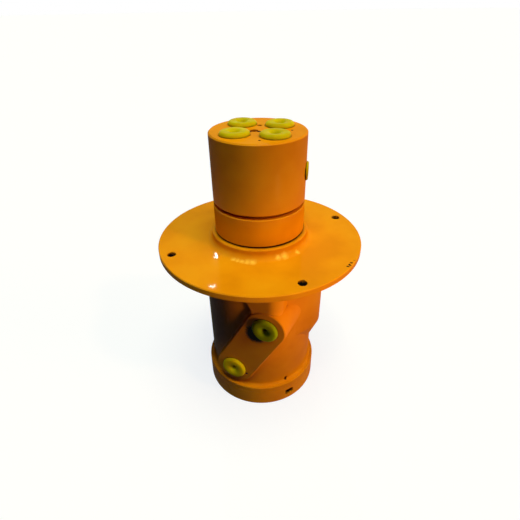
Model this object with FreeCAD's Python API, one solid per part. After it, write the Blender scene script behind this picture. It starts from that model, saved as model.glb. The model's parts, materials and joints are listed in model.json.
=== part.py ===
import FreeCAD, Part
import math
import os

# Hydraulic rotary union for a slewing machine: a flanged housing that stays with the undercarriage
# and a ported stem that turns in it, with five separate oil circuits between the two.
# Millimetres and degrees. Origin at the centre of the flange's underside, +Z up along the stem,
# -Y out of the long slanted port pad. Heights are measured from the flange's underside.

Vector = FreeCAD.Vector
up = Vector(0, 0, 1)
plusX = Vector(1, 0, 0)
plusY = Vector(0, 1, 0)
minusY = Vector(0, -1, 0)

# Flange and hub of the housing
flangeRadius = 133.0
flangeThickness = 8.5
flangeEdgeChamfer = 1.0
hubRadius = 62.6
hubTop = 21.8
hubFillet = 8.0
hubEdgeChamfer = 1.0
flangeHoleRadius = 5.5
flangeHoleInset = 14.0
flangeHoleCount = 4
flangeHoleFirstAngle = 45.0
flangeHoleCircle = flangeRadius - flangeHoleInset

# Shaft, its running clearance in the bore, and the seats at both ends of the bore
shaftRadius = 47.5
runningClearance = 0.05
boreRadius = shaftRadius + runningClearance
bearingWidth = 6.9
bearingThickness = 5.55
bearingSeatDepth = 4.0
retainerSeatDepth = 14.0
retainerSeatStep = 8.45
retainerSeatRadius = boreRadius + retainerSeatStep
seatClearance = 0.05
thrustRingGap = 0.5

# Threaded ports: radius of the thread's wall, its depth, mouth chamfer and the drilling behind it
mainPortRadius = 13.22
mainPortDepth = 20.0
mainDrillRadius = 7.0
smallPortRadius = 8.33
smallPortDepth = 14.0
smallDrillRadius = 4.0
mouthChamfer = 0.9
drillPointAngle = 118.0
drillLandMargin = 1.0

# Oil circuits: the height of each circuit's annular gallery in the bore
drainLevel = -29.0
galleryPitch = 26.0
padDrop = 87.0
galleryDepth = 8.45
backUpperLevel = drainLevel - galleryPitch
frontUpperLevel = backUpperLevel - galleryPitch
backLowerLevel = backUpperLevel - padDrop
frontLowerLevel = frontUpperLevel - padDrop
galleryRadius = boreRadius + galleryDepth
galleryWidth = 2 * mainDrillRadius
drainGalleryWidth = 2 * smallDrillRadius

# Seal sets above, between and below the galleries, half a gallery pitch from each
sealOffset = galleryPitch / 2
sealLevels = [drainLevel + sealOffset, drainLevel - sealOffset, backUpperLevel - sealOffset]
sealLevels += [frontUpperLevel - sealOffset, backLowerLevel + sealOffset]
sealLevels += [backLowerLevel - sealOffset, frontLowerLevel - sealOffset]
slipperThickness = 2.35
slipperWidth = 6.1
slipperChamfer = 0.4
slipperSideGap = 0.1
energiserThickness = 5.15
ringSectionSides = 8
sealGrooveWidth = slipperWidth + 2 * slipperSideGap
sealGrooveDepth = slipperThickness + energiserThickness
wiperLevel = 11.0
wiperGrooveWidth = 6.0
wiperGrooveDepth = 5.0
wiperHeelGap = 1.5
wiperLipGap = 0.3
wiperLipThickness = 1.2

# Barrel, the lip that carries the bottom cover and a small weep hole above the lip
barrelWall = 19.5
lipOverhang = 6.8
lipThickness = 8.3
lipFillet = 4.5
lipEdgeChamfer = 0.8
weepHoleRadius = 1.8
weepHoleDepth = 5.0
weepHoleAngle = -40.0
weepHoleAboveLip = 4.5
barrelRadius = retainerSeatRadius + barrelWall
lipRadius = barrelRadius + lipOverhang

# Slanted pad on the front: the port positions across, its face and outline
padStandoff = 5.5
padRadius = 27.0
padSideInset = 10.5
padLowerX = -9.3
padToLip = 8.7
padDraft = 6.0
padEdgeChamfer = 1.2
padFillet = 3.0
backPadTurn = 180.0
padUpperX = barrelRadius - padRadius - padSideInset
padFace = barrelRadius + padStandoff
lipTop = frontLowerLevel - padRadius - padToLip
housingBottom = lipTop - lipThickness
retainerSeatTop = housingBottom + retainerSeatDepth

# Web that stiffens the flange above a pad's upper port; it widens upwards to one side
webSetback = 1.0
webNarrowSide = 18.5
webWideSide = 19.0
webFlare = 25.5
webBelowPadTop = 2.0
webRounding = 16.0

# Broad rounded swelling of the barrel round the housing's drain port, running out at its foot
bossAngle = 10.0
bossStandoff = 12.7
bossRadius = 40.0
bossRootInset = 0.2
bossFootBelowDrain = 93.0
bossFootLength = 32.0
bossFootScale = 0.85
spotFaceDepth = 2.2
spotFaceMargin = 2.5
bossReach = barrelRadius + bossStandoff
bossFace = bossReach - spotFaceDepth
bossFootTop = drainLevel - bossFootBelowDrain

# Stem: collar, keeper groove and head with the ports, above the shaft
headRadius = 57.5
headHeight = 82.3
collarHeight = 35.5
keeperGrooveWidth = 5.0
keeperGrooveDepth = 7.0
headChamfer = 1.5
collarChamfer = 0.8
shaftChamfer = 1.5
stemRestAngle = 12.6
topPortCircle = 32.0
topPortCount = 4
topPortFirstAngle = 45.0
stemDrainDrop = 46.2
drainDrillX = -3.6
drainDrillY = -4.8
eyeHoleX = -1.2
eyeHoleY = 18.9
eyeHoleRadius = 3.4
eyeHoleDepth = 18.0
pinHoleRadius = 1.5
pinHoleDepth = 6.0
pinHoleSpots = [(8.2, -41.5), (38.9, 1.4)]
bearingTop = hubTop - bearingSeatDepth + bearingThickness
collarBottom = bearingTop + seatClearance
headBottom = collarBottom + collarHeight + keeperGrooveWidth
headTop = headBottom + headHeight
stemDrainHeight = headTop - stemDrainDrop

# Hex socket plug that closes the upper end of the axial drain drilling
closurePlugRadius = 4.8
closurePlugLength = 8.0
closurePlugRecess = 1.2
closurePlugChamfer = 0.5
closureSocketAcross = 5.0
closureSocketDepth = 4.5
threadClearance = 0.05

# Retaining plate on the stem's lower end, with its screws
plateThickness = 10.0
plateSideGap = 1.5
plateEdgeChamfer = 1.0
plateScrewCircle = 32.0
plateScrewCount = 4
plateScrewRadius = 5.0
plateScrewReach = 18.0
plateScrewHeadRadius = 8.0
plateScrewHeadHeight = 10.0
plateScrewSocketAcross = 8.0
plateRadius = retainerSeatRadius - plateSideGap
shaftEnd = housingBottom + plateThickness

# Bottom cover, its face seal and its screws
coverThickness = 26.5
coverRecessRadius = 46.0
coverRecessDepth = 14.0
coverEdgeChamfer = 1.2
coverSeamChamfer = 0.6
coverScrewInset = 6.0
coverScrewCount = 8
coverScrewFirstAngle = 22.5
coverScrewRadius = 4.0
coverScrewHoleGap = 0.5
coverScrewHeadRadius = 6.5
coverScrewHeadHeight = 8.0
coverScrewSocketAcross = 6.0
screwChamfer = 0.8
coverCounterboreGap = 1.0
coverCounterboreDepth = 9.0
coverScrewReach = 17.5
tappedHoleExtra = 3.0
faceSealInset = 4.2
faceSealGrooveWidth = 4.4
faceSealGrooveDepth = 2.8
leverPocketAngle = -38.0
leverPocketWidth = 13.0
leverPocketHeight = 10.0
leverPocketDepth = 6.0
leverPocketTopDrop = 7.0
leverPocketRounding = 1.5
coverBottom = housingBottom - coverThickness
coverScrewCircle = barrelRadius - coverScrewInset
faceSealRadius = retainerSeatRadius + faceSealInset

# Push-in port plugs: rim, funnel-shaped recess and tapered hollow shank
mainPlugRimRadius = 18.0
mainPlugRimHeight = 5.0
mainPlugRecessRadius = 7.0
mainPlugLength = 16.0
smallPlugRimRadius = 11.3
smallPlugRimHeight = 4.0
smallPlugRecessRadius = 4.2
smallPlugLength = 11.0
plugFit = 0.07
plugTaper = 3.0
plugFloor = 2.0
plugEndBevel = 1.2
rimBevelShare = 0.32
funnelShare = 0.6

# How far a cutter runs past the face it opens, and how closely an edge is matched when it is looked up
cutOverrun = 1.0
matchTolerance = 0.001
seamTolerance = 0.01
seamSampleShares = (0.1, 0.5, 0.9)


def cylinder(radius, bottom, top, x=0.0, y=0.0):
    return Part.makeCylinder(radius, top - bottom, Vector(x, y, bottom))


def ring(innerRadius, outerRadius, bottom, top):
    return cylinder(outerRadius, bottom, top).cut(cylinder(innerRadius, bottom, top))


def revolved(profile):
    """Turn a closed outline of (radius, height) corners about the vertical axis."""
    corners = [Vector(radius, 0, height) for radius, height in profile]
    outline = Part.makePolygon(corners + corners[:1])
    return Part.Face(outline).revolve(Vector(0, 0, 0), up, 360)


def polarPoint(radius, angle, height=0.0):
    return Vector(radius * math.cos(math.radians(angle)), radius * math.sin(math.radians(angle)), height)


def circlePattern(radius, count, firstAngle, height=0.0):
    return [polarPoint(radius, firstAngle + 360.0 * index / count, height) for index in range(count)]


def hexPrism(acrossFlats, bottom, top):
    corners = circlePattern(acrossFlats / math.sqrt(3), 6, 0.0, bottom)
    return Part.Face(Part.makePolygon(corners + corners[:1])).extrude(up * (top - bottom))


def turned(shape, angle):
    """Copy of a shape turned about the stem's axis."""
    copy = shape.copy()
    copy.rotate(Vector(0, 0, 0), up, angle)
    return copy


def placed(shape, spot, outward):
    """Copy of a shape whose own +Z is laid along outward, with its origin at spot."""
    copy = shape.copy()
    copy.Placement = FreeCAD.Placement(spot, FreeCAD.Rotation(up, outward))
    return copy


def circleEdges(shape, radius, height):
    """Full or part circles about the stem's axis at one radius and height."""
    found = []
    for edge in shape.Edges:
        if not isinstance(edge.Curve, Part.Circle):
            continue
        centre = edge.Curve.Center
        onAxis = math.hypot(centre.x, centre.y) < matchTolerance
        atHeight = abs(centre.z - height) < matchTolerance
        if onAxis and atHeight and abs(edge.Curve.Radius - radius) < matchTolerance:
            found.append(edge)
    return found


def portCutter(threadRadius, threadDepth, drillRadius, drillEnd):
    """Threaded port with chamfered mouth and a drilling behind it, mouth at the origin, going down."""
    chamferRun = 2 * mouthChamfer
    mouth = Part.makeCone(threadRadius, threadRadius + chamferRun, chamferRun, Vector(0, 0, -mouthChamfer))
    thread = cylinder(threadRadius, -threadDepth, cutOverrun)
    shoulderDepth = (threadRadius - drillRadius) / math.tan(math.radians(drillPointAngle / 2))
    shoulderEnd = Vector(0, 0, -threadDepth - shoulderDepth)
    shoulder = Part.makeCone(drillRadius, threadRadius, shoulderDepth, shoulderEnd)
    drilling = blindHole(drillRadius, threadDepth, drillEnd)
    return thread.fuse([mouth, shoulder, drilling])


def blindHole(radius, start, end):
    """Drilled hole going down from -start to -end, with a drill point."""
    pointDepth = radius / math.tan(math.radians(drillPointAngle / 2))
    point = Part.makeCone(0.0, radius, pointDepth, Vector(0, 0, -end - pointDepth))
    return cylinder(radius, -end, -start).fuse(point)


def portPlug(rimRadius, rimHeight, recessRadius, shankRadius, length):
    """Hollow push-in plug seated on z = 0: a thick bevelled rim round a funnel, and a tapered cup below."""
    shankEndRadius = shankRadius - length * math.tan(math.radians(plugTaper))
    rimBevel = rimHeight * rimBevelShare
    funnel = rimHeight * funnelShare
    return revolved([
        (0.0, -length),
        (shankEndRadius - plugEndBevel, -length),
        (shankEndRadius, plugEndBevel - length),
        (shankRadius, 0.0),
        (rimRadius, 0.0),
        (rimRadius, rimHeight - rimBevel),
        (rimRadius - rimBevel, rimHeight),
        (recessRadius + funnel, rimHeight),
        (recessRadius, rimHeight - funnel),
        (recessRadius, plugFloor - length),
        (0.0, plugFloor - length),
    ])


def mainPlug():
    shankRadius = mainPortRadius - plugFit
    return portPlug(mainPlugRimRadius, mainPlugRimHeight, mainPlugRecessRadius, shankRadius, mainPlugLength)


def smallPlug():
    shankRadius = smallPortRadius - plugFit
    return portPlug(smallPlugRimRadius, smallPlugRimHeight, smallPlugRecessRadius, shankRadius, smallPlugLength)


def socketScrew(shankRadius, reach, headRadius, headHeight, socketAcross):
    """Socket head screw pointing up: the head hangs below z = 0 and the shank rises from it."""
    head = cylinder(headRadius, -headHeight, 0.0)
    head = head.makeChamfer(screwChamfer, circleEdges(head, headRadius, -headHeight))
    shank = cylinder(shankRadius, 0.0, reach)
    shank = shank.makeChamfer(screwChamfer, circleEdges(shank, shankRadius, reach))
    socket = hexPrism(socketAcross, -headHeight, -headHeight / 2)
    return head.fuse(shank).cut(socket)


# Galleries in the bore: level and width
galleries = [
    (drainLevel, drainGalleryWidth),
    (backUpperLevel, galleryWidth),
    (frontUpperLevel, galleryWidth),
    (backLowerLevel, galleryWidth),
    (frontLowerLevel, galleryWidth),
]

# Housing ports: where their mouths lie on the pads and on the swelling
frontPorts = [Vector(padUpperX, -padFace, frontUpperLevel), Vector(padLowerX, -padFace, frontLowerLevel)]
backPorts = [Vector(-padUpperX, padFace, backUpperLevel), Vector(-padLowerX, padFace, backLowerLevel)]
bossOutward = polarPoint(1.0, bossAngle)
bodyDrainPort = polarPoint(bossFace, bossAngle, drainLevel)


def boreTool():
    """One turned cutter for the bore, its galleries, seal grooves and end seats."""
    grooves = [(level, width, galleryRadius) for level, width in galleries]
    grooves += [(level, sealGrooveWidth, boreRadius + sealGrooveDepth) for level in sealLevels]
    grooves.append((wiperLevel, wiperGrooveWidth, boreRadius + wiperGrooveDepth))
    bearingSeatRadius = boreRadius + bearingWidth
    outline = [
        (0.0, hubTop + cutOverrun),
        (bearingSeatRadius, hubTop + cutOverrun),
        (bearingSeatRadius, hubTop - bearingSeatDepth),
        (boreRadius, hubTop - bearingSeatDepth),
    ]
    for level, width, radius in sorted(grooves, reverse=True):
        top = level + width / 2
        bottom = level - width / 2
        outline += [(boreRadius, top), (radius, top), (radius, bottom), (boreRadius, bottom)]
    outline += [
        (boreRadius, retainerSeatTop),
        (retainerSeatRadius, retainerSeatTop),
        (retainerSeatRadius, housingBottom - cutOverrun),
        (0.0, housingBottom - cutOverrun),
    ]
    return revolved(outline)


def padOutline(radius, distance):
    """Round-ended outline round the two front ports, in a plane at a distance in front of the axis."""
    upper = Vector(padUpperX, -distance, frontUpperLevel)
    lower = Vector(padLowerX, -distance, frontLowerLevel)
    across = (upper - lower).cross(plusY).normalize() * radius
    along = (upper - lower).normalize() * radius
    edges = [
        Part.makeLine(lower + across, upper + across),
        Part.Arc(upper + across, upper + along, upper - across).toShape(),
        Part.makeLine(upper - across, lower - across),
        Part.Arc(lower - across, lower - along, lower + across).toShape(),
    ]
    return Part.Wire(edges)


def portPad():
    """Slanted pad over the two front ports; its walls spread a little from its face to the axis."""
    rootRadius = padRadius + padFace * math.tan(math.radians(padDraft))
    pad = Part.makeLoft([padOutline(rootRadius, 0.0), padOutline(padRadius, padFace)], True, True)
    rim = [edge for edge in pad.Edges if abs(edge.BoundBox.YMax + padFace) < matchTolerance]
    return pad.makeChamfer(padEdgeChamfer, rim)


def padWeb(lift):
    """Web from the front pad's upper end to a height that a lift then brings up to the flange."""
    foot = frontUpperLevel + padRadius - webBelowPadTop
    left = padUpperX - webNarrowSide
    right = padUpperX + webWideSide
    corners = [
        Vector(left, 0, frontUpperLevel),
        Vector(left, 0, foot),
        Vector(left + (foot + lift) * math.tan(math.radians(webFlare)), 0, -lift),
        Vector(right, 0, -lift),
        Vector(right, 0, frontUpperLevel),
    ]
    web = Part.Face(Part.makePolygon(corners + corners[:1])).extrude(minusY * (padFace - webSetback))
    corner = [edge for edge in web.Edges if edge.BoundBox.XMin > right - matchTolerance]
    outer = [edge for edge in corner if edge.BoundBox.YMax < webSetback - padFace + matchTolerance]
    return web.makeFillet(webRounding, outer)


def bossOutline(scale, level):
    """Level outline of the swelling towards +X: a round nose whose flanks run tangent to the barrel."""
    root = barrelRadius - bossRootInset
    centre = bossReach - bossRadius
    flank = math.degrees(math.acos((root - bossRadius) / centre))
    noseStart = polarPoint(bossRadius, -flank) + plusX * centre
    noseEnd = polarPoint(bossRadius, flank) + plusX * centre
    rootStart = polarPoint(root, -flank)
    rootEnd = polarPoint(root, flank)
    edges = [
        Part.Arc(noseStart, plusX * bossReach, noseEnd).toShape(),
        Part.makeLine(noseEnd, rootEnd),
        Part.makeLine(rootEnd, rootStart),
        Part.makeLine(rootStart, noseStart),
    ]
    outline = Part.Wire(edges).scaled(scale, Vector(0, 0, 0))
    outline.translate(up * level)
    return outline


def drainBoss():
    """Swelling of the barrel with the drain port; below, it narrows towards the axis until it runs out."""
    top = flangeThickness / 2
    column = Part.Face(bossOutline(1.0, bossFootTop)).extrude(up * (top - bossFootTop))
    footEnd = bossOutline(bossFootScale, bossFootTop - bossFootLength)
    foot = Part.makeLoft([bossOutline(1.0, bossFootTop), footEnd], True, True)
    return turned(column.fuse(foot), bossAngle)


def padSeams(shape):
    """Curved edges where the pads meet the barrel's round wall."""
    seams = []
    for edge in shape.Edges:
        first, last = edge.ParameterRange
        points = [edge.valueAt(first + (last - first) * share) for share in seamSampleShares]
        onWall = all(abs(math.hypot(point.x, point.y) - barrelRadius) < seamTolerance for point in points)
        if onWall and not isinstance(edge.Curve, (Part.Line, Part.Circle)):
            seams.append(edge)
    return seams


def raisedToBack(shape):
    """Copy of a front pad or web turned to the back and raised to the back ports' levels."""
    copy = turned(shape, backPadTurn)
    copy.translate(up * (backUpperLevel - frontUpperLevel))
    return copy


def castBody():
    """Outer form of the housing before machining."""
    hub = cylinder(hubRadius, 0.0, hubTop)
    flange = cylinder(flangeRadius, 0.0, flangeThickness)
    barrel = cylinder(barrelRadius, housingBottom, flangeThickness / 2)
    lip = cylinder(lipRadius, housingBottom, lipTop)
    body = barrel.fuse([portPad(), raisedToBack(portPad())]).removeSplitter()
    body = body.makeFillet(padFillet, padSeams(body))
    webs = [padWeb(0.0), raisedToBack(padWeb(backUpperLevel - frontUpperLevel))]
    body = body.fuse(webs + [drainBoss(), hub, flange, lip]).removeSplitter()
    body = body.makeFillet(hubFillet, circleEdges(body, hubRadius, flangeThickness))
    body = body.makeFillet(lipFillet, circleEdges(body, barrelRadius, lipTop))
    rims = circleEdges(body, flangeRadius, flangeThickness) + circleEdges(body, flangeRadius, 0.0)
    body = body.makeChamfer(flangeEdgeChamfer, rims)
    body = body.makeChamfer(lipEdgeChamfer, circleEdges(body, lipRadius, lipTop))
    return body.makeChamfer(hubEdgeChamfer, circleEdges(body, hubRadius, hubTop))


def sideDrillEnd(portX, faceDistance):
    """How deep a side drilling goes to open into its gallery without reaching the bore's wall."""
    nearSide = max(abs(portX) - mainDrillRadius, 0.0)
    return faceDistance - math.sqrt((boreRadius + drillLandMargin) ** 2 - nearSide**2)


def makeHousing():
    cutters = [boreTool()]
    holeTop = flangeThickness + cutOverrun
    for spot in circlePattern(flangeHoleCircle, flangeHoleCount, flangeHoleFirstAngle):
        cutters.append(cylinder(flangeHoleRadius, -cutOverrun, holeTop, spot.x, spot.y))
    for outward, ports in ((minusY, frontPorts), (plusY, backPorts)):
        for spot in ports:
            tool = portCutter(mainPortRadius, mainPortDepth, mainDrillRadius, sideDrillEnd(spot.x, padFace))
            cutters.append(placed(tool, spot, outward))
    drainEnd = bossFace - boreRadius - drillLandMargin
    drainTool = portCutter(smallPortRadius, smallPortDepth, smallDrillRadius, drainEnd)
    spotFace = cylinder(smallPlugRimRadius + spotFaceMargin, 0.0, spotFaceDepth + cutOverrun)
    cutters.append(placed(drainTool.fuse(spotFace), bodyDrainPort, bossOutward))
    weepLevel = lipTop + weepHoleAboveLip
    weepTool = cylinder(weepHoleRadius, -weepHoleDepth, cutOverrun)
    weepSpot = polarPoint(barrelRadius, weepHoleAngle, weepLevel)
    cutters.append(placed(weepTool, weepSpot, polarPoint(1.0, weepHoleAngle)))
    tapRadius = coverScrewRadius + threadClearance
    tapTop = housingBottom + coverScrewReach + tappedHoleExtra
    for spot in circlePattern(coverScrewCircle, coverScrewCount, coverScrewFirstAngle):
        cutters.append(cylinder(tapRadius, housingBottom - cutOverrun, tapTop, spot.x, spot.y))
    return castBody().cut(cutters)


def topPortSpots():
    return circlePattern(topPortCircle, topPortCount, topPortFirstAngle, headTop)


# Each top port feeds one circuit: the angle of its cross drilling is that of the port itself
topPortLevels = [frontUpperLevel, backUpperLevel, backLowerLevel, frontLowerLevel]


def stemBlank():
    """Turned outside of the stem."""
    grooveRadius = headRadius - keeperGrooveDepth
    outline = [
        (0.0, shaftEnd),
        (shaftRadius - shaftChamfer, shaftEnd),
        (shaftRadius, shaftEnd + shaftChamfer),
        (shaftRadius, collarBottom),
        (headRadius - collarChamfer, collarBottom),
        (headRadius, collarBottom + collarChamfer),
        (headRadius, headBottom - keeperGrooveWidth - collarChamfer),
        (headRadius - collarChamfer, headBottom - keeperGrooveWidth),
        (grooveRadius, headBottom - keeperGrooveWidth),
        (grooveRadius, headBottom),
        (headRadius - collarChamfer, headBottom),
        (headRadius, headBottom + collarChamfer),
        (headRadius, headTop - headChamfer),
        (headRadius - headChamfer, headTop),
        (0.0, headTop),
    ]
    return revolved(outline)


def stemPassages():
    """Cutters for the ports and the drilled oil ways, in the stem's own frame."""
    cutters = []
    for spot, level in zip(topPortSpots(), topPortLevels):
        portTool = portCutter(mainPortRadius, mainPortDepth, mainDrillRadius, headTop - level)
        cutters.append(placed(portTool, spot, up))
        outward = Vector(spot.x, spot.y, 0).normalize()
        crossTool = cylinder(mainDrillRadius, 0.0, shaftRadius)
        cutters.append(placed(crossTool, Vector(spot.x, spot.y, level), outward))
    closureSeat = closurePlugRecess + closurePlugLength
    above = headTop + cutOverrun
    centreTool = cylinder(smallDrillRadius, shaftEnd - cutOverrun, above, drainDrillX, drainDrillY)
    tapRadius = closurePlugRadius + threadClearance
    closureTool = cylinder(tapRadius, headTop - closureSeat, above, drainDrillX, drainDrillY)
    sideTool = portCutter(smallPortRadius, smallPortDepth, smallDrillRadius, headRadius - drainDrillX)
    drainCross = cylinder(smallDrillRadius, 0.0, shaftRadius + cutOverrun - drainDrillX)
    cutters.append(centreTool.fuse(closureTool))
    cutters.append(placed(sideTool, Vector(headRadius, 0, stemDrainHeight), plusX))
    cutters.append(placed(drainCross, Vector(drainDrillX, 0, drainLevel), plusX))
    return cutters


def makeStem():
    stem = stemBlank().cut(stemPassages())
    eyeHole = blindHole(eyeHoleRadius, -cutOverrun, eyeHoleDepth)
    cutters = [placed(eyeHole, Vector(eyeHoleX, eyeHoleY, headTop), up)]
    for x, y in pinHoleSpots:
        cutters.append(cylinder(pinHoleRadius, headTop - pinHoleDepth, headTop + cutOverrun, x, y))
    tapRadius = plateScrewRadius + threadClearance
    tapTop = shaftEnd + plateScrewReach + tappedHoleExtra
    for spot in plateScrewSpots():
        cutters.append(cylinder(tapRadius, shaftEnd - cutOverrun, tapTop, spot.x, spot.y))
    return turned(stem.cut(cutters), stemRestAngle)


def makeClosurePlug():
    """Hex socket plug in the top end of the axial drain drilling."""
    top = headTop - closurePlugRecess
    plug = cylinder(closurePlugRadius, top - closurePlugLength, top)
    plug = plug.makeChamfer(closurePlugChamfer, circleEdges(plug, closurePlugRadius, top))
    plug = plug.cut(hexPrism(closureSocketAcross, top - closureSocketDepth, top + cutOverrun))
    plug.translate(Vector(drainDrillX, drainDrillY, 0))
    return turned(plug, stemRestAngle)


def makeUpperThrustRing():
    """Bearing ring under the stem's collar; it stands out of the hub and keeps the two apart."""
    seatBottom = hubTop - bearingSeatDepth
    outer = boreRadius + bearingWidth - seatClearance
    return ring(boreRadius + thrustRingGap, outer, seatBottom, bearingTop)


def makeLowerThrustRing():
    """Bearing ring between the housing's lower shoulder and the retaining plate."""
    bottom = shaftEnd + seatClearance
    return ring(boreRadius + thrustRingGap, retainerSeatRadius - seatClearance, bottom, retainerSeatTop)


def makeWiperRing():
    """Dust wiper in its groove, with a thin lip that leans up towards the shaft."""
    grooveOuter = boreRadius + wiperGrooveDepth - seatClearance
    top = wiperLevel + wiperGrooveWidth / 2 - seatClearance
    bottom = wiperLevel - wiperGrooveWidth / 2 + seatClearance
    heel = boreRadius + wiperHeelGap
    lip = shaftRadius + wiperLipGap
    outline = [
        (heel, bottom),
        (grooveOuter, bottom),
        (grooveOuter, top),
        (heel + wiperLipThickness, top),
        (heel + wiperLipThickness, wiperLevel),
        (lip + wiperLipThickness / 2, top),
        (lip, top - wiperLipThickness / 2),
        (heel, wiperLevel - wiperLipThickness),
    ]
    return revolved(outline)


def makeSlipperRing(level):
    """Low-friction seal ring that runs on the shaft."""
    half = slipperWidth / 2
    seal = ring(boreRadius, boreRadius + slipperThickness, level - half, level + half)
    bearingEdges = circleEdges(seal, boreRadius, level - half) + circleEdges(seal, boreRadius, level + half)
    return seal.makeChamfer(slipperChamfer, bearingEdges)


def squeezedRing(innerRadius, outerRadius, level):
    """Rubber ring in its groove, its section pressed flat where it meets the walls round it."""
    half = (outerRadius - innerRadius) / 2
    halfSide = 180.0 / ringSectionSides
    corners = circlePattern(half / math.cos(math.radians(halfSide)), ringSectionSides, halfSide)
    return revolved([(innerRadius + half + corner.x, level + corner.y) for corner in corners])


def makeEnergiserRing(level):
    """Rubber ring behind a slipper ring, filling the groove's depth."""
    return squeezedRing(boreRadius + slipperThickness, boreRadius + sealGrooveDepth, level)


def plateScrewSpots():
    return circlePattern(plateScrewCircle, plateScrewCount, 0.0, shaftEnd - plateThickness)


def makeRetainingPlate():
    """Disc bolted to the stem's end; it holds the stem down in the housing."""
    plate = cylinder(plateRadius, shaftEnd - plateThickness, shaftEnd)
    plate = plate.makeChamfer(plateEdgeChamfer, circleEdges(plate, plateRadius, shaftEnd - plateThickness))
    holes = [(smallDrillRadius, drainDrillX, drainDrillY)]
    holes += [(plateScrewRadius + threadClearance, spot.x, spot.y) for spot in plateScrewSpots()]
    bottom = shaftEnd - plateThickness - cutOverrun
    cutters = [cylinder(radius, bottom, shaftEnd + cutOverrun, x, y) for radius, x, y in holes]
    return turned(plate.cut(cutters), stemRestAngle)


def makePlateScrews():
    reach = plateThickness + plateScrewReach
    screw = socketScrew(
        plateScrewRadius, reach, plateScrewHeadRadius, plateScrewHeadHeight, plateScrewSocketAcross
    )
    screws = Part.makeCompound([placed(screw, spot, up) for spot in plateScrewSpots()])
    return turned(screws, stemRestAngle)


def leverPocket():
    """Pocket in the cover's side where a lever is set to part the cover from the lip."""
    top = housingBottom - leverPocketTopDrop
    pocket = Part.makeBox(
        leverPocketDepth + cutOverrun,
        leverPocketWidth,
        leverPocketHeight,
        Vector(lipRadius - leverPocketDepth, -leverPocketWidth / 2, top - leverPocketHeight),
    )
    inward = [edge for edge in pocket.Edges if edge.BoundBox.XLength > leverPocketDepth]
    return turned(pocket.makeFillet(leverPocketRounding, inward), leverPocketAngle)


def makeBottomCover():
    cover = cylinder(lipRadius, coverBottom, housingBottom)
    cover = cover.makeChamfer(coverEdgeChamfer, circleEdges(cover, lipRadius, coverBottom))
    cover = cover.makeChamfer(coverSeamChamfer, circleEdges(cover, lipRadius, housingBottom))
    top = housingBottom + cutOverrun
    bottom = coverBottom - cutOverrun
    half = faceSealGrooveWidth / 2
    cutters = [
        cylinder(coverRecessRadius, housingBottom - coverRecessDepth, top),
        ring(faceSealRadius - half, faceSealRadius + half, housingBottom - faceSealGrooveDepth, top),
        leverPocket(),
    ]
    holeRadius = coverScrewRadius + coverScrewHoleGap
    counterboreRadius = coverScrewHeadRadius + coverCounterboreGap
    counterboreTop = coverBottom + coverCounterboreDepth
    for spot in circlePattern(coverScrewCircle, coverScrewCount, coverScrewFirstAngle):
        cutters.append(cylinder(holeRadius, bottom, top, spot.x, spot.y))
        cutters.append(cylinder(counterboreRadius, bottom, counterboreTop, spot.x, spot.y))
    return cover.cut(cutters)


def makeCoverSeal():
    half = faceSealGrooveDepth / 2
    return squeezedRing(faceSealRadius - half, faceSealRadius + half, housingBottom - half)


def makeCoverScrews():
    grip = coverThickness - coverCounterboreDepth
    reach = grip + coverScrewReach
    screw = socketScrew(
        coverScrewRadius, reach, coverScrewHeadRadius, coverScrewHeadHeight, coverScrewSocketAcross
    )
    headSeat = coverBottom + coverCounterboreDepth
    spots = circlePattern(coverScrewCircle, coverScrewCount, coverScrewFirstAngle, headSeat)
    return Part.makeCompound([placed(screw, spot, up) for spot in spots])


def stemPlugs():
    """The plugs in the stem's top ports and side drain port, by name."""
    plugs = {}
    for number, spot in enumerate(topPortSpots(), 1):
        plugs["top_port_plug_%d" % number] = turned(placed(mainPlug(), spot, up), stemRestAngle)
    sidePlug = placed(smallPlug(), Vector(headRadius, 0, stemDrainHeight), plusX)
    plugs["stem_drain_plug"] = turned(sidePlug, stemRestAngle)
    return plugs


def bodyPlugs():
    """The plugs in the housing's ports, by name."""
    return {
        "front_upper_plug": placed(mainPlug(), frontPorts[0], minusY),
        "front_lower_plug": placed(mainPlug(), frontPorts[1], minusY),
        "back_upper_plug": placed(mainPlug(), backPorts[0], plusY),
        "back_lower_plug": placed(mainPlug(), backPorts[1], plusY),
        "body_drain_plug": placed(smallPlug(), bodyDrainPort, bossOutward),
    }


def makePieces():
    pieces = {
        "housing": makeHousing(),
        "stem": makeStem(),
        "closure_plug": makeClosurePlug(),
        "upper_thrust_ring": makeUpperThrustRing(),
        "lower_thrust_ring": makeLowerThrustRing(),
        "wiper_ring": makeWiperRing(),
        "retaining_plate": makeRetainingPlate(),
        "plate_screws": makePlateScrews(),
        "bottom_cover": makeBottomCover(),
        "cover_seal": makeCoverSeal(),
        "cover_screws": makeCoverScrews(),
    }
    for number, level in enumerate(sealLevels, 1):
        pieces["slipper_ring_%d" % number] = makeSlipperRing(level)
        pieces["energiser_ring_%d" % number] = makeEnergiserRing(level)
    pieces.update(stemPlugs())
    pieces.update(bodyPlugs())
    return pieces


os.makedirs("parts", exist_ok=True)
for name, shape in makePieces().items():
    shape.exportStep("parts/%s.step" % name)
    print("%-20s %3d solid(s) %12.1f mm3" % (name, len(shape.Solids), shape.Volume))
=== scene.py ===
import json
import math

import bmesh
import bpy
from mathutils import Matrix, Vector


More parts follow.
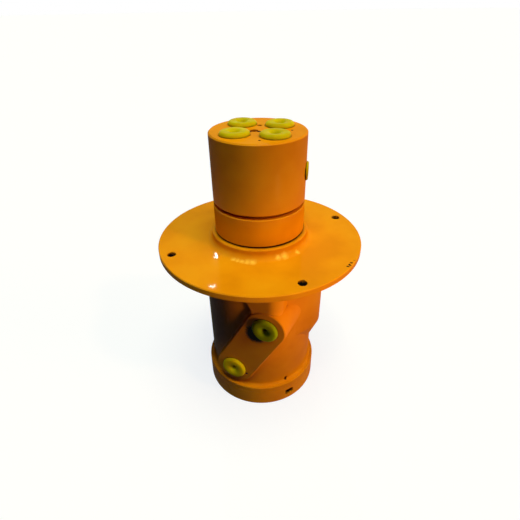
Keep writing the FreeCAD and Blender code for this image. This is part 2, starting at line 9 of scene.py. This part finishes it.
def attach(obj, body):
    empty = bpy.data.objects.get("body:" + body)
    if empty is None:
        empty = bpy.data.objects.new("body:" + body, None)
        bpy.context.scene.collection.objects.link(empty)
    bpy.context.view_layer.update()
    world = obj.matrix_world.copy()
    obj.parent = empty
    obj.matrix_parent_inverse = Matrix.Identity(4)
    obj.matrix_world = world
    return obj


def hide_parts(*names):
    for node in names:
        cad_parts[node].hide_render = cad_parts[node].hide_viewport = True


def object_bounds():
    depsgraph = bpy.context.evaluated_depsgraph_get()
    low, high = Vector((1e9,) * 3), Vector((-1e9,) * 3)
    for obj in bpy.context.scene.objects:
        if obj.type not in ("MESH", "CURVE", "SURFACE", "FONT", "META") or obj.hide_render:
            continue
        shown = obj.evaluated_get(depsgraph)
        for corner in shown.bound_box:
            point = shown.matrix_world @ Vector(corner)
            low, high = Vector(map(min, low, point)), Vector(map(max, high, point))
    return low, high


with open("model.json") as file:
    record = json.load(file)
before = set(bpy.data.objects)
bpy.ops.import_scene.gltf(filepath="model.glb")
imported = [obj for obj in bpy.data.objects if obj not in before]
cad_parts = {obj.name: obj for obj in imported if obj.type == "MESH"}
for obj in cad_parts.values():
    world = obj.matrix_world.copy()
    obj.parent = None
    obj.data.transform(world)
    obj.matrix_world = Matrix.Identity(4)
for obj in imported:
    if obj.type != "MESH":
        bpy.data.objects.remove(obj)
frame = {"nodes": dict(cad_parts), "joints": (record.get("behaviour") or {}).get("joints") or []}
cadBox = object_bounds()
mm = 0.001
print("frame loaded: %d nodes" % len(frame["nodes"]))


# Camera

cameraView = {
    "lens": 26.61,  # on a 36 mm sensor
    "position": (0.1681, -0.4161, 0.2637),
    "turn": 22.0,  # degrees about the vertical, from looking along +Y
    "pitch": 33.42,  # degrees down
    "roll": -0.9,
}


def makeCamera(look):
    data = bpy.data.cameras.new("camera")
    data.lens = look["lens"]
    data.dof.use_dof = False
    camera = bpy.data.objects.new("camera", data)
    bpy.context.scene.collection.objects.link(camera)
    turn = Matrix.Rotation(math.radians(look["turn"]), 4, "Z")
    pitch = Matrix.Rotation(math.radians(90 - look["pitch"]), 4, "X")
    roll = Matrix.Rotation(math.radians(look["roll"]), 4, "Z")
    camera.matrix_world = Matrix.Translation(look["position"]) @ turn @ pitch @ roll
    bpy.context.scene.camera = camera


makeCamera(cameraView)
print("camera set")


# Colours and nodes

def linearColour(hexCode):
    # an sRGB code as the linear red, green, blue and alpha that shaders work in
    channels = [int(hexCode[place:place + 2], 16) / 255 for place in (1, 3, 5)]
    return [c / 12.92 if c <= 0.04045 else ((c + 0.055) / 1.055) ** 2.4 for c in channels] + [1.0]


def perSize(millimetres):
    return 1 / (millimetres * mm)  # texture scale for a pattern whose cells are this wide


def addNode(tree, kind, values=None, links=None, **settings):
    # a value may be a hex colour; a link comes from a socket, or from a node's first output
    node = tree.nodes.new(kind)
    for name, value in settings.items():
        setattr(node, name, value)
    for socket, value in (values or {}).items():
        node.inputs[socket].default_value = linearColour(value) if isinstance(value, str) else value
    for socket, source in (links or {}).items():
        output = source.outputs[0] if isinstance(source, bpy.types.Node) else source
        tree.links.new(output, node.inputs[socket])
    return node


def newMaterial(name):
    material = bpy.data.materials.new(name)
    material.use_nodes = True
    tree = material.node_tree
    tree.nodes.clear()
    surface = addNode(tree, "ShaderNodeBsdfPrincipled")
    addNode(tree, "ShaderNodeOutputMaterial", links={"Surface": surface})
    place = addNode(tree, "ShaderNodeTexCoord").outputs["Object"]
    return material, tree, surface, place


# the part of a noise or mask that is stretched out to run from 0 to 1
lowPatches = {"From Min": 0.50, "From Max": 0.35}
highPatches = {"From Min": 0.50, "From Max": 0.65}
allPatches = {"From Min": 0.35, "From Max": 0.65}
roundedAway = {"From Min": 0.97, "From Max": 0.80}  # agreement of the rounded normal with the real one
closedIn = {"From Min": 0.85, "From Max": 0.35}  # openness of a place
middleOfNoise = {"From Min": 0.3, "From Max": 0.7}
spotWander = 1.5  # mm that a spot's outline strays from its circle


def edgeMask(tree, width):
    # 1 on sharp outer edges and corners, 0 on open faces
    rounded = addNode(tree, "ShaderNodeBevel", {"Radius": width * mm}, samples=6)
    plain = addNode(tree, "ShaderNodeNewGeometry").outputs["Normal"]
    match = addNode(tree, "ShaderNodeVectorMath", links={0: rounded, 1: plain}, operation="DOT_PRODUCT")
    return addNode(tree, "ShaderNodeMapRange", roundedAway, {"Value": match.outputs["Value"]})


def creviceMask(tree, width):
    # 1 deep in corners, holes and gaps, 0 on open faces: where shade is painted
    openness = addNode(tree, "ShaderNodeAmbientOcclusion", {"Distance": width * mm}, samples=8)
    return addNode(tree, "ShaderNodeMapRange", closedIn, {"Value": openness.outputs["AO"]})


def spotMask(tree, place, spots, core, ragged):
    # 1 inside each round spot out to a share of its radius, then fading to a ragged outline
    wander = {**middleOfNoise, "To Min": -spotWander * mm, "To Max": spotWander * mm}
    ripple = addNode(tree, "ShaderNodeMapRange", wander, {"Value": ragged})
    masks = []
    for centre, radius in spots:
        middle = {1: [coordinate * mm for coordinate in centre]}
        reach = addNode(tree, "ShaderNodeVectorMath", middle, {0: place}, operation="DISTANCE")
        shaken = {0: reach.outputs["Value"], 1: ripple}
        shaken = addNode(tree, "ShaderNodeMath", links=shaken, operation="ADD")
        span = {"From Min": radius * mm, "From Max": core * radius * mm}
        masks.append(addNode(tree, "ShaderNodeMapRange", span, {"Value": shaken}))
    total = masks[0]
    for mask in masks[1:]:
        total = addNode(tree, "ShaderNodeMath", links={0: total, 1: mask}, operation="MAXIMUM")
    return total


print("helpers ready")


# Enamel over castings and turned steel

enamelLook = {  # all lengths in mm
    "fresh": "#E99A0A",
    "thin": "#EDA20F",
    "thick": "#E19108",
    # painted shade in corners, holes and gaps
    "paintedShade": "#3A2208",
    "bare": "#6B5A48",  # brown metal where an edge is chipped
    # dark scuffs, and painted shade and shadows
    "scuffsAndPaintedShade": "#0D0905",
    "patchCell": 60.0,  # uneven film thickness left by the spray gun
    "sagCell": 12.0,  # slow waves where the wet film sagged
    "sagDepth": 0.015,
    "peelCell": 2.6,  # orange peel; really 1 to 2 mm, drawn coarser so that it shows
    "peelDepth": 0.005,
    "sandCell": 4.5,  # sand-cast skin under the film
    "sandDepth": 0.22,
    "latheCell": 2.2,  # between tool marks; really 0.3 mm, drawn coarser so that they show
    "latheDepth": 0.012,
    "edgeWidth": 0.9,
    "chipCell": 3.2,
    "flaked": {"From Min": 0.60, "From Max": 0.64},  # the part of the noise where an edge has lost its paint
    "chipDullness": 0.2,  # added to the roughness there
    "gloss": (0.30, 0.42),
    "coat": 0.05,  # the clear top of the film, kept low so that its glints stay faint
    "coatRoughness": 0.03,
    "creviceReach": 4.5,
    "spotCore": 0.7,  # share of the radius that is dark all over
    "spots": (  # place and radius in mm of dark spots: scuffs, and painted shade and shadows
        ((58.3, -45.6, -223.8), 10.5),  # painted shade in the lever pocket
        ((58.4, -49.0, -199.2), 3.2),  # painted shade in the weep hole
        ((84.1, -84.1, 0.5), 10.0),  # painted shade in and round the four flange holes
        ((84.1, 84.1, 0.5), 10.0),
        ((-84.1, 84.1, 0.5), 10.0),
        ((-84.1, -84.1, 0.5), 10.0),
        ((125.0, -34.2, 8.5), 1.9),  # scuffs where a sling rubbed the flange's rim
        ((126.0, -30.2, 8.5), 1.9),
        ((127.3, -25.4, 8.5), 1.6),
        ((130.2, -19.4, 8.5), 1.4),
        ((-5.2, -9.6, 146.2), 3.0),  # painted shade at the two ends of the closing plug's recess
        ((3.4, -7.0, 146.2), 3.0),
        ((24.5, -81.0, -93.0), 16.0),  # painted shadow of the upper port plug, on the pad to its lower left
        ((9.5, -81.0, -174.8), 2.0),  # painted shadow at the lower right of the lower one
    ),
    # colour of the painted highlights on the hub's foot
    "paintedHighlight": "#FFD04A",
    "paintedHighlightCore": 0.1,
    "paintedHighlights": (  # painted highlights along the foot of the hub
        ((-7.1, -68.4, 8.9), 4.0),
        ((-1.5, -69.0, 8.9), 4.2),
        ((4.4, -69.0, 8.9), 4.6),
        ((10.8, -68.0, 9.0), 5.2),
        ((17.4, -66.2, 9.1), 5.6),
        ((43.0, -48.6, 11.4), 5.0),
        ((49.4, -42.4, 11.4), 6.0),
        ((60.9, -26.6, 10.2), 4.0),
    ),
}
turnedLook = {**enamelLook, "paintedShade": "#6A3A0A"}  # lighter brown painted shade in the groove and the seams
shadedClosureLook = {  # the closing plug drawn browner, as painted shade in its recess
    **enamelLook, "fresh": "#A65A10", "thin": "#B0640F", "thick": "#9A500D", "creviceReach": 1.0,
}
bandsPerCell = 3  # a wave texture draws about this many bands along one unit of its scale


def enamelColour(tree, place, look, patches, specks, chips):
    # lighter where the film is thin and darker where it is thick, then painted highlights, painted shade in
    # crevices, bare chips, and dark spots of scuffs and painted shade
    thin = addNode(tree, "ShaderNodeMapRange", lowPatches, {"Value": patches})
    thick = addNode(tree, "ShaderNodeMapRange", highPatches, {"Value": patches})
    film = addNode(tree, "ShaderNodeMixRGB", {1: look["fresh"], 2: look["thin"]}, {0: thin})
    film = addNode(tree, "ShaderNodeMixRGB", {2: look["thick"]}, {0: thick, 1: film})
    layers = {
        "paintedHighlight": spotMask(tree, place, look["paintedHighlights"], look["paintedHighlightCore"], specks),
        "paintedShade": creviceMask(tree, look["creviceReach"]),
        "bare": chips,
        "scuffsAndPaintedShade": spotMask(tree, place, look["spots"], look["spotCore"], specks),
    }
    for colour, mask in layers.items():
        film = addNode(tree, "ShaderNodeMixRGB", {2: look[colour]}, {0: mask, 1: film})
    return film


def skinBelow(tree, place, look, casting):
    # what shows through the film: rough sand-cast skin, or the arcs of a lathe tool
    if casting:
        size = {"Scale": perSize(look["sandCell"]), "Detail": 6.0, "Roughness": 0.62}
        skin = addNode(tree, "ShaderNodeTexNoise", size, {"Vector": place})
        depth = look["sandDepth"]
    else:
        size = {"Scale": perSize(look["latheCell"]) / bandsPerCell, "Distortion": 0.6, "Detail": 1.0}
        skin = addNode(tree, "ShaderNodeTexWave", size, {"Vector": place}, bands_direction="Z")
        depth = look["latheDepth"]
    return addNode(tree, "ShaderNodeBump", {"Distance": depth * mm}, {"Height": skin})


def wetTop(tree, place, look):
    # the film's own surface: slow sags, and orange peel on them
    sagSize = {"Scale": perSize(look["sagCell"]), "Detail": 0.0}
    sags = addNode(tree, "ShaderNodeTexNoise", sagSize, {"Vector": place})
    peelSize = {"Scale": perSize(look["peelCell"]), "Detail": 1.0}
    peel = addNode(tree, "ShaderNodeTexNoise", peelSize, {"Vector": place})
    top = addNode(tree, "ShaderNodeBump", {"Distance": look["sagDepth"] * mm}, {"Height": sags})
    peelDepth = {"Distance": look["peelDepth"] * mm}
    return addNode(tree, "ShaderNodeBump", peelDepth, {"Height": peel, "Normal": top})


def enamel(name, look, casting):
    # Sprayed alkyd enamel: wet top gloss with slow sags and orange peel, nicked at edges, with painted shade
    # in corners and spots of painted light and shade
    material, tree, surface, place = newMaterial(name)
    patchSize = {"Scale": perSize(look["patchCell"]), "Detail": 3.0}
    patches = addNode(tree, "ShaderNodeTexNoise", patchSize, {"Vector": place})
    chipSize = {"Scale": perSize(look["chipCell"]), "Detail": 5.0, "Roughness": 0.7}
    specks = addNode(tree, "ShaderNodeTexNoise", chipSize, {"Vector": place})
    flaked = addNode(tree, "ShaderNodeMapRange", look["flaked"], {"Value": specks})
    edges = edgeMask(tree, look["edgeWidth"])
    chips = addNode(tree, "ShaderNodeMath", links={0: edges, 1: flaked}, operation="MULTIPLY")

    shine, dull = look["gloss"]
    rough = addNode(tree, "ShaderNodeMapRange", {"To Min": shine, "To Max": dull}, {"Value": patches})
    duller = {0: chips, 2: rough}
    rough = addNode(tree, "ShaderNodeMath", {1: look["chipDullness"]}, duller, operation="MULTIPLY_ADD")
    dressing = {
        "Base Color": enamelColour(tree, place, look, patches, specks, chips),
        "Roughness": rough,
        "Normal": skinBelow(tree, place, look, casting),
        "Coat Normal": wetTop(tree, place, look),
    }
    for socket, node in dressing.items():
        tree.links.new(node.outputs[0], surface.inputs[socket])
    surface.inputs["Specular IOR Level"].default_value = 0.0  # the gloss is all in the clear top of the film
    surface.inputs["Coat Weight"].default_value = look["coat"]
    surface.inputs["Coat Roughness"].default_value = look["coatRoughness"]
    return material


print("enamel ready")


# Bare metals, lengths in mm

bareMetalLook = {"edgeWidth": 0.6, "creviceReach": 3.0, "metallic": 1.0}
bronzeLook = {  # bearing bronze, turned: warm yellow, dulled in patches where oil has dried
    **bareMetalLook,
    "light": "#C79A56", "dark": "#A87B3C", "edge": "#E0B872", "paintedShade": "#4A3418",
    "patchCell": 14.0, "markCell": 0.8, "markDepth": 0.02, "gloss": (0.25, 0.45),
}
groundSteelLook = {  # alloy steel, ground: cool grey with a soft, even sheen
    **bareMetalLook,
    "light": "#A9ABAC", "dark": "#8A8C8E", "edge": "#C9CBCC", "paintedShade": "#2C2A26",
    "patchCell": 18.0, "markCell": 0.7, "markDepth": 0.02, "gloss": (0.25, 0.42),
}
blackOxideLook = {  # steel screws, blackened in a hot bath: near black, worn grey on the edges
    **bareMetalLook,
    "light": "#3A3B3E", "dark": "#26272A", "edge": "#77787A", "paintedShade": "#141312",
    "patchCell": 6.0, "markCell": 0.6, "markDepth": 0.02, "gloss": (0.35, 0.52), "metallic": 0.9,
}


def turnedMetal(name, look):
    # Turned or ground and left bare: fine tool marks, a thin film of oil, dull in patches, and painted shade
    # in crevices
    material, tree, surface, place = newMaterial(name)
    patchSize = {"Scale": perSize(look["patchCell"]), "Detail": 4.0, "Roughness": 0.6}
    patches = addNode(tree, "ShaderNodeTexNoise", patchSize, {"Vector": place})
    markSize = {"Scale": perSize(look["markCell"]), "Detail": 2.0, "Roughness": 0.7}
    marks = addNode(tree, "ShaderNodeTexNoise", markSize, {"Vector": place})
    shade = addNode(tree, "ShaderNodeMapRange", allPatches, {"Value": patches})
    tone = addNode(tree, "ShaderNodeMixRGB", {1: look["dark"], 2: look["light"]}, {0: shade})
    edges = edgeMask(tree, look["edgeWidth"])
    tone = addNode(tree, "ShaderNodeMixRGB", {2: look["edge"]}, {0: edges, 1: tone})
    # painted shade in crevices
    crevices = creviceMask(tree, look["creviceReach"])
    tone = addNode(tree, "ShaderNodeMixRGB", {2: look["paintedShade"]}, {0: crevices, 1: tone})
    tree.links.new(tone.outputs[0], surface.inputs["Base Color"])
    shine, dull = look["gloss"]
    rough = addNode(tree, "ShaderNodeMapRange", {"To Min": shine, "To Max": dull}, {"Value": patches})
    tree.links.new(rough.outputs[0], surface.inputs["Roughness"])
    relief = addNode(tree, "ShaderNodeBump", {"Distance": look["markDepth"] * mm}, {"Height": marks})
    tree.links.new(relief.outputs[0], surface.inputs["Normal"])
    surface.inputs["Metallic"].default_value = look["metallic"]
    return material


# Plastics and rubber, lengths in mm

polymerLook = {"edgeWidth": 0.7, "scuffs": 0.5, "creviceReach": 4.0, "scatter": 3.0}
acetalLook = {  # acetal, turned: dense black with a low waxy gloss
    **polymerLook,
    "light": "#1C1B1A", "dark": "#121211", "edge": "#2E2D2B", "paintedShade": "#0A0908", "paintedShadeShare": 0.6,
    "flowCell": 12.0, "grainCell": 0.9, "grainDepth": 0.02, "gloss": (0.38, 0.55),
    "ior": 1.48, "specular": 0.3, "depth": 0.0,
}
rubberLook = {  # nitrile rubber, moulded: matt black
    **polymerLook,
    "light": "#191918", "dark": "#101010", "edge": "#242322", "paintedShade": "#080808", "paintedShadeShare": 0.6,
    "flowCell": 9.0, "grainCell": 0.7, "grainDepth": 0.03, "gloss": (0.55, 0.72),
    "ior": 1.52, "specular": 0.3, "depth": 0.0,
}
sealPlasticLook = {  # filled seal plastic, turned: dull dark green, a little waxy
    **polymerLook,
    "light": "#28584A", "dark": "#1E463B", "edge": "#3C7061", "paintedShade": "#101A16", "paintedShadeShare": 0.5,
    "flowCell": 8.0, "grainCell": 0.7, "grainDepth": 0.02, "gloss": (0.35, 0.50),
    "ior": 1.38, "specular": 0.3, "depth": 0.05,
}
polyethyleneLook = {  # soft polyethylene, moulded: waxy yellow that light enters a little way
    **polymerLook,
    "light": "#C9C00A", "dark": "#BBB208", "edge": "#D2CA2C", "paintedShade": "#26300A", "paintedShadeShare": 0.85,
    "flowCell": 16.0, "grainCell": 1.1, "grainDepth": 0.03, "gloss": (0.34, 0.50),
    "ior": 1.51, "specular": 0.01, "depth": 0.3,
}
shadedPolyethyleneLook = {  # the same plastic drawn greener and darker as painted shade, with deep painted shade in its funnel
    **polyethyleneLook,
    "light": "#98B40C", "dark": "#8CA60A", "edge": "#ACC424", "paintedShade": "#0C1606", "paintedShadeShare": 1.0,
}
litPolyethyleneLook = {  # the same plastic drawn paler as painted light
    **polyethyleneLook,
    "light": "#ECE20C", "dark": "#E0D60A", "edge": "#F0E83A",
}


def mouldedPolymer(name, look):
    # Moulded plastic or rubber: even colour with cloudy flow marks, a fine matt skin, light scuffs and
    # painted shade in crevices
    material, tree, surface, place = newMaterial(name)
    flow = addNode(tree, "ShaderNodeTexNoise", {"Scale": perSize(look["flowCell"])}, {"Vector": place})
    grainSize = {"Scale": perSize(look["grainCell"]), "Roughness": 0.6}
    grain = addNode(tree, "ShaderNodeTexNoise", grainSize, {"Vector": place})
    shade = addNode(tree, "ShaderNodeMapRange", allPatches, {"Value": flow})
    tone = addNode(tree, "ShaderNodeMixRGB", {1: look["dark"], 2: look["light"]}, {0: shade})
    edges = edgeMask(tree, look["edgeWidth"])
    scuffs = addNode(tree, "ShaderNodeMath", {1: look["scuffs"]}, {0: edges}, operation="MULTIPLY")
    tone = addNode(tree, "ShaderNodeMixRGB", {2: look["edge"]}, {0: scuffs, 1: tone})
    # painted shade in crevices and deep in the plugs' funnels
    crevices = creviceMask(tree, look["creviceReach"])
    paintedShadeShare = addNode(tree, "ShaderNodeMath", {1: look["paintedShadeShare"]}, {0: crevices}, operation="MULTIPLY")
    tone = addNode(tree, "ShaderNodeMixRGB", {2: look["paintedShade"]}, {0: paintedShadeShare, 1: tone})
    tree.links.new(tone.outputs[0], surface.inputs["Base Color"])
    shine, dull = look["gloss"]
    rough = addNode(tree, "ShaderNodeMapRange", {"To Min": shine, "To Max": dull}, {"Value": grain})
    tree.links.new(rough.outputs[0], surface.inputs["Roughness"])
    relief = addNode(tree, "ShaderNodeBump", {"Distance": look["grainDepth"] * mm}, {"Height": grain})
    tree.links.new(relief.outputs[0], surface.inputs["Normal"])
    surface.inputs["IOR"].default_value = look["ior"]
    surface.inputs["Specular IOR Level"].default_value = look["specular"]
    surface.inputs["Subsurface Weight"].default_value = look["depth"]
    surface.inputs["Subsurface Scale"].default_value = look["scatter"] * mm
    return material


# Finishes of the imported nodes

castEnamel = enamel("sprayedEnamelOnCastIron", enamelLook, casting=True)
turnedEnamel = enamel("sprayedEnamelOnTurnedSteel", turnedLook, casting=False)
# the closing plug's enamel, drawn browner as painted shade
shadedClosureEnamel = enamel("sprayedEnamelOnClosingPlugShaded", shadedClosureLook, casting=False)
bronze = turnedMetal("turnedBearingBronze", bronzeLook)
groundSteel = turnedMetal("groundSteel", groundSteelLook)
blackSteel = turnedMetal("blackOxideSteel", blackOxideLook)
acetal = mouldedPolymer("turnedBlackAcetal", acetalLook)
rubber = mouldedPolymer("mouldedNitrileRubber", rubberLook)
sealPlastic = mouldedPolymer("filledSealPlastic", sealPlasticLook)
polyethylene = mouldedPolymer("mouldedPolyethylene", polyethyleneLook)
shadedPolyethylene = mouldedPolymer("mouldedPolyethyleneShaded", shadedPolyethyleneLook)
litPolyethylene = mouldedPolymer("mouldedPolyethyleneLit", litPolyethyleneLook)

nodeFinishes = {
    "housing": castEnamel,
    "bottom_cover": turnedEnamel,
    "stem": turnedEnamel,
    "closure_plug": shadedClosureEnamel,  # sprayed over together with the stem
    "upper_thrust_ring": acetal,
    "lower_thrust_ring": bronze,
    "wiper_ring": rubber,
    "cover_seal": rubber,
    "retaining_plate": groundSteel,
    "plate_screws": blackSteel,
    "cover_screws": blackSteel,
}


def finishNodes(finishes):
    for name, node in frame["nodes"].items():
        finish = finishes.get(name)
        if name.startswith("slipper"):
            finish = sealPlastic
        elif name.startswith("energiser"):
            finish = rubber
        if finish is not None:
            node.data.materials.clear()
            node.data.materials.append(finish)


finishNodes(nodeFinishes)
print("finishes on the packed nodes")


# Port plugs: soft push-in plugs with a thick rolled rim round a deep funnel, sizes in mm

plugEdges = {"neckRounding": 0.3, "brimRounding": 0.2, "throatTaper": 0.3, "floorRounding": 0.8}
mainPlug = {
    **plugEdges,
    "rimRadius": 17.6, "rimHeight": 4.6, "rimRounding": 4.2, "throatRadius": 3.2, "funnelRounding": 7.0,
    "shankRadius": 13.15, "shankEndRadius": 12.3, "length": 16.0, "floor": 2.0, "endRounding": 1.6,
}
smallPlug = {
    **plugEdges,
    "rimRadius": 11.3, "rimHeight": 2.4, "rimRounding": 2.1, "throatRadius": 2.2, "funnelRounding": 4.4,
    "shankRadius": 8.26, "shankEndRadius": 7.7, "length": 11.0, "floor": 2.0, "endRounding": 1.4,
}
# the upper front plug gets the painted-shade copy of the plastic, the lower one the painted-light copy
plugPlastics = {"front_upper_plug": shadedPolyethylene, "front_lower_plug": litPolyethylene}


def roundedOutline(corners, steps=7):
    # each corner is radius, height and rounding; the rounding is drawn as an arc between its tangents
    outline = [Vector(corners[0][:2])]
    for before, corner, after in zip(corners, corners[1:], corners[2:]):
        middle = Vector(corner[:2])
        inward = (Vector(before[:2]) - middle).normalized()
        onward = (Vector(after[:2]) - middle).normalized()
        half = inward.angle(onward) / 2
        run = corner[2] / math.tan(half)
        centre = middle + (inward + onward).normalized() * (corner[2] / math.sin(half))
        first = middle + inward * run - centre
        last = middle + onward * run - centre
        sweep = first.angle_signed(last)
        for step in range(steps + 1):
            outline.append(centre + Matrix.Rotation(-sweep * step / steps, 2) @ first)
    outline.append(Vector(corners[-1][:2]))
    return outline


def lathe(name, outline, segments=96):
    mesh = bpy.data.meshes.new(name)
    form = bmesh.new()
    points = [form.verts.new((point.x * mm, 0, point.y * mm)) for point in outline]
    edges = [form.edges.new(pair) for pair in zip(points, points[1:])]
    turn = {"axis": (0, 0, 1), "cent": (0, 0, 0), "angle": math.tau, "steps": segments}
    bmesh.ops.spin(form, geom=points + edges, use_merge=True, **turn)
    bmesh.ops.remove_doubles(form, verts=form.verts, dist=0.002 * mm)  # welds the ends on the axis
    bmesh.ops.recalc_face_normals(form, faces=form.faces)
    for face in form.faces:
        face.smooth = True
    form.to_mesh(mesh)
    form.free()
    return bpy.data.objects.new(name, mesh)


def plugOutline(plug):
    top = plug["rimHeight"]
    end = plug["length"]
    throat = plug["throatRadius"]
    return roundedOutline([
        (0, -end, 0),
        (plug["shankEndRadius"], -end, plug["endRounding"]),
        (plug["shankRadius"], 0, plug["neckRounding"]),
        (plug["rimRadius"], 0, plug["brimRounding"]),
        (plug["rimRadius"], top, plug["rimRounding"]),
        (throat, top, plug["funnelRounding"]),
        (throat - plug["throatTaper"], plug["floor"] - end, plug["floorRounding"]),
        (0, plug["floor"] - end, 0),
    ])


def plugSeat(node, outward, length):
    # where the rim meets the port's face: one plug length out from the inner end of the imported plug
    side = outward.orthogonal().normalized()
    corners = [vertex.co for vertex in frame["nodes"][node].data.vertices]
    seat = outward * (min(corner.dot(outward) for corner in corners) + length * mm)
    for across in (side, outward.cross(side)):
        reach = [corner.dot(across) for corner in corners]
        seat = seat + across * (min(reach) + max(reach)) / 2
    turn = outward.to_track_quat("Z", "Y").to_matrix().to_4x4()
    return Matrix.Translation(seat) @ turn


def makePlugs():
    for joint in frame["joints"]:
        if joint["type"] != "slide":
            continue
        node = joint["child"]
        size = smallPlug if "drain" in node else mainPlug
        plug = lathe(node + "_moulded", plugOutline(size))
        bpy.context.scene.collection.objects.link(plug)
        plug.data.transform(plugSeat(node, Vector(joint["axis"]).normalized(), size["length"]))
        plug.data.materials.append(plugPlastics.get(node, polyethylene))
        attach(plug, node)
        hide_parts(node)


makePlugs()
print("plugs made")


# Studio

studio = {
    "background": "#FFFFFF",
    "floorColour": "#F2F2F0",
    "floorBounce": "#121110",  # what the floor gives back to the object, so that its shaded side stays deep
    "floorLift": 0.75,  # share of the floor's look that is its own pale colour, whatever light falls on it
    "floorTint": (1.05, 1.08, 1.12),  # keeps the floor neutral under the warm lamps
    "floorRadius": 60.0,  # metres
    "fill": 0.004,  # the world's own light on the object
}
# angles in degrees; a broad light overhead, warm lamps from the right and the front, and a small bright
# window behind that shows mainly as a glint in the wet paint
lamps = {
    "overhead": {"azimuth": -40, "elevation": 83, "angle": 35, "level": 0.64, "colour": "#F6F9D2"},
    "key": {"azimuth": -12.5, "elevation": 47, "angle": 5, "level": 0.22, "colour": "#FFD09A"},
    "side": {"azimuth": 6, "elevation": 9, "angle": 30, "level": 0.51, "colour": "#FFB874"},
    "front": {"azimuth": -78, "elevation": 68, "angle": 8, "level": 0.13, "colour": "#FFF0D0"},
    "window": {"azimuth": 119.4, "elevation": 32.45, "angle": 1.0, "level": 0.045, "colour": "#FFFFFF"},
}
# place, aim and size in metres, spread of the beam in degrees, power in watts: a tube whose glint lies near
# the flange's left rim, and a card low on the right that warms the barrel and the front pad
nearLamps = {
    "tube": {
        "place": (-1.649, 2.620, 2.410), "aim": (-0.006, -0.125, 0.008), "size": (0.085, 0.005),
        "spread": 90, "power": 0.35, "colour": "#FFFFFF",
    },
    "card": {
        "place": (0.49, -0.24, -0.11), "aim": (0.03, -0.07, -0.04), "size": (0.10, 0.06),
        "spread": 36, "power": 0.048, "colour": "#FFC080",
    },
}


def seenDirectly(tree):
    # 1 for the rays that show the surroundings themselves: to the camera, in a mirror or through glass
    ray = addNode(tree, "ShaderNodeLightPath").outputs
    mirrored = {0: ray["Is Glossy Ray"], 1: ray["Is Transmission Ray"]}
    mirrored = addNode(tree, "ShaderNodeMath", links=mirrored, operation="MAXIMUM")
    return addNode(tree, "ShaderNodeMath", links={0: ray["Is Camera Ray"], 1: mirrored}, operation="MAXIMUM")


def paleStudioFloor(look):
    # Matt floor that shows its own pale colour and a soft shadow, and gives little light back to the object
    material = bpy.data.materials.new("paleStudioFloor")
    material.use_nodes = True
    tree = material.node_tree
    tree.nodes.clear()
    seen = seenDirectly(tree)
    colours = {1: look["floorBounce"], 2: look["floorColour"]}
    colour = addNode(tree, "ShaderNodeMixRGB", colours, {0: seen})
    matt = addNode(tree, "ShaderNodeBsdfDiffuse", links={"Color": colour})
    glow = addNode(tree, "ShaderNodeEmission", {"Color": (*look["floorTint"], 1), "Strength": 1.0})
    lift = addNode(tree, "ShaderNodeMath", {1: look["floorLift"]}, {0: seen}, operation="MULTIPLY")
    mixed = addNode(tree, "ShaderNodeMixShader", links={0: lift, 1: matt, 2: glow})
    addNode(tree, "ShaderNodeOutputMaterial", links={"Surface": mixed})
    return material


def makeFloor(look):
    form = bmesh.new()
    bmesh.ops.create_circle(form, cap_ends=True, radius=look["floorRadius"], segments=64)
    mesh = bpy.data.meshes.new("floor")
    form.to_mesh(mesh)
    form.free()
    mesh.materials.append(paleStudioFloor(look))
    floor = bpy.data.objects.new("floor", mesh)
    floor.location.z = cadBox[0].z
    bpy.context.scene.collection.objects.link(floor)


def makeWorld(look):
    world = bpy.data.worlds.new("studio")
    bpy.context.scene.world = world
    world.use_nodes = True
    tree = world.node_tree
    tree.nodes.clear()
    level = {0: seenDirectly(tree)}
    level = addNode(tree, "ShaderNodeMath", {1: look["fill"]}, level, operation="MAXIMUM")
    sky = addNode(tree, "ShaderNodeBackground", {"Color": look["background"]}, {"Strength": level})
    addNode(tree, "ShaderNodeOutputWorld", links={"Surface": sky})


def makeLamps(setting):
    for name, look in setting.items():
        azimuth = math.radians(look["azimuth"])
        elevation = math.radians(look["elevation"])
        level = math.cos(elevation)
        toward = Vector((level * math.cos(azimuth), level * math.sin(azimuth), math.sin(elevation)))
        data = bpy.data.lights.new(name, "SUN")
        data.angle = math.radians(look["angle"])
        data.color = linearColour(look["colour"])[:3]
        data.energy = look["level"] * math.pi  # level 1 shows a colour as written
        lamp = bpy.data.objects.new(name, data)
        lamp.rotation_euler = toward.to_track_quat("Z", "Y").to_euler()
        bpy.context.scene.collection.objects.link(lamp)


def makeNearLamps(setting):
    for name, look in setting.items():
        data = bpy.data.lights.new(name, "AREA")
        data.shape = "RECTANGLE"
        data.size, data.size_y = look["size"]
        data.color = linearColour(look["colour"])[:3]
        data.spread = math.radians(look["spread"])
        data.energy = look["power"]
        lamp = bpy.data.objects.new(name, data)
        away = Vector(look["place"]) - Vector(look["aim"])
        turn = away.to_track_quat("Z", "Y").to_matrix().to_4x4()
        lamp.matrix_world = Matrix.Translation(look["place"]) @ turn
        lamp.visible_camera = False
        bpy.context.scene.collection.objects.link(lamp)


makeFloor(studio)
makeWorld(studio)
makeLamps(lamps)
makeNearLamps(nearLamps)
bpy.context.scene.view_settings.view_transform = "Standard"
print("studio lit")
